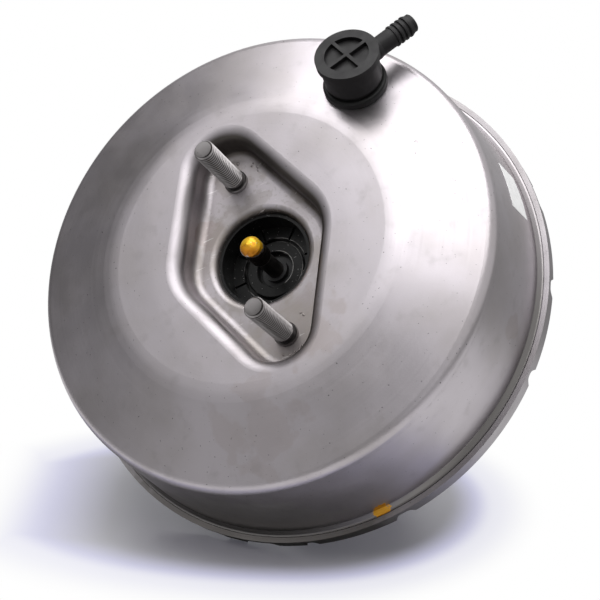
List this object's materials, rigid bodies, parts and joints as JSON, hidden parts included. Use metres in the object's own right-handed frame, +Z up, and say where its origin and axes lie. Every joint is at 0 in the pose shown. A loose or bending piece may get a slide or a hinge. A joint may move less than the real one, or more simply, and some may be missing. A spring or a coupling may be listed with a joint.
{
  "type": "vacuum brake booster",
  "caption": "Round vacuum brake booster with a diamond recess, master cylinder studs, a barbed check valve, an output rod, and a booted input rod with clevis behind.",
  "frame": {"origin": "on the booster's axis, in the master cylinder's mounting face at the floor of the diamond recess", "axes": "-Y along the axis out of the front, where the master cylinder bolts on; +Y towards the pedal; X along the line of the two front studs; +Z up"},
  "size_m": [0.2398, 0.238, 0.2398],
  "materials": {
    "shell_steel": "satin drawn sheet steel, lightly brushed",
    "rear_shell_steel": "satin drawn sheet steel",
    "plate_steel": "dull pressed steel",
    "stud_steel": "grey phosphated steel",
    "rod_steel": "dark turned steel",
    "tip_paint": "yellow-orange marking paint on steel",
    "spring_steel": "oiled spring wire",
    "guide_plastic": "semi-gloss black moulding",
    "carrier_plastic": "black moulding",
    "valve_plastic": "matte black moulding",
    "grommet_rubber": "matte black rubber",
    "seal_rubber": "black rubber",
    "diaphragm_rubber": "fabric-backed black rubber",
    "boot_rubber": "matte black rubber",
    "piston_resin": "glass-filled dark moulding",
    "felt": "grey felt",
    "filter_foam": "open dark foam"
  },
  "bodies": {
    "booster_shell": {"front_shell": "shell_steel", "rear_shell": "rear_shell_steel", "front_reinforcement_plate": "plate_steel", "master_cylinder_studs": "stud_steel", "rear_reinforcement_plate": "plate_steel", "firewall_studs": "stud_steel", "rod_guide_cup": "guide_plastic", "rod_seal_carrier": "carrier_plastic", "rod_seal": "seal_rubber", "neck_guide_ring": "carrier_plastic", "neck_seal": "seal_rubber", "neck_end_cover": "plate_steel", "diaphragm": "diaphragm_rubber", "return_spring": "spring_steel", "dust_boot": "boot_rubber", "check_valve_grommet": "grommet_rubber"},
    "power_piston_assembly": {"power_piston": "piston_resin", "diaphragm_plate": "plate_steel", "reaction_disc": "seal_rubber", "output_rod": "rod_steel", "output_rod_tip": "tip_paint", "output_rod_retainer": "plate_steel", "stop_key": "plate_steel", "poppet_valve": "seal_rubber", "poppet_retainer": "plate_steel", "poppet_spring": "spring_steel", "input_return_spring": "spring_steel", "silencer_felt": "felt", "air_filter": "filter_foam"},
    "valve_plunger": {"air_valve_plunger": "rod_steel"},
    "input_rod_assembly": {"input_rod": "rod_steel", "lock_nut": "stud_steel", "clevis": "stud_steel"},
    "check_valve": {"check_valve_body": "valve_plastic", "check_valve_cap": "valve_plastic", "check_valve_spring": "spring_steel"},
    "check_valve_plate": {"check_valve_disc": "seal_rubber"}
  },
  "joints": [
    {"name": "boost_stroke", "type": "slide", "parent": "booster_shell", "child": "power_piston_assembly", "axis": [0, -1, 0], "range_m": [0, 0.03], "stiffness_N_per_m": 2500, "springref_m": -0.04, "deforming": ["return_spring", "diaphragm", "dust_boot"]},
    {"name": "valve_travel", "type": "slide", "parent": "power_piston_assembly", "child": "valve_plunger", "axis": [0, -1, 0], "range_m": [0, 0.001], "stiffness_N_per_m": 4000, "springref_m": -0.004, "deforming": ["input_return_spring", "poppet_spring"]},
    {"name": "rod_swing", "type": "hinge", "parent": "valve_plunger", "child": "input_rod_assembly", "pos_m": [0, 0.0945, 0], "axis": [1, 0, 0], "range_deg": [-3, 3], "stiffness_Nm_per_rad": 15},
    {"name": "check_valve_turn", "type": "hinge", "parent": "booster_shell", "child": "check_valve", "pos_m": [-0.05296, -0.01022, 0.07028], "axis": [-0.1553, -0.9661, 0.2061], "continuous": true},
    {"name": "check_disc_lift", "type": "slide", "parent": "check_valve", "child": "check_valve_plate", "axis": [-0.1553, -0.9661, 0.2061], "range_m": [0, 0.0015], "stiffness_N_per_m": 60, "springref_m": -0.001, "deforming": ["check_valve_spring"]}
  ]
}
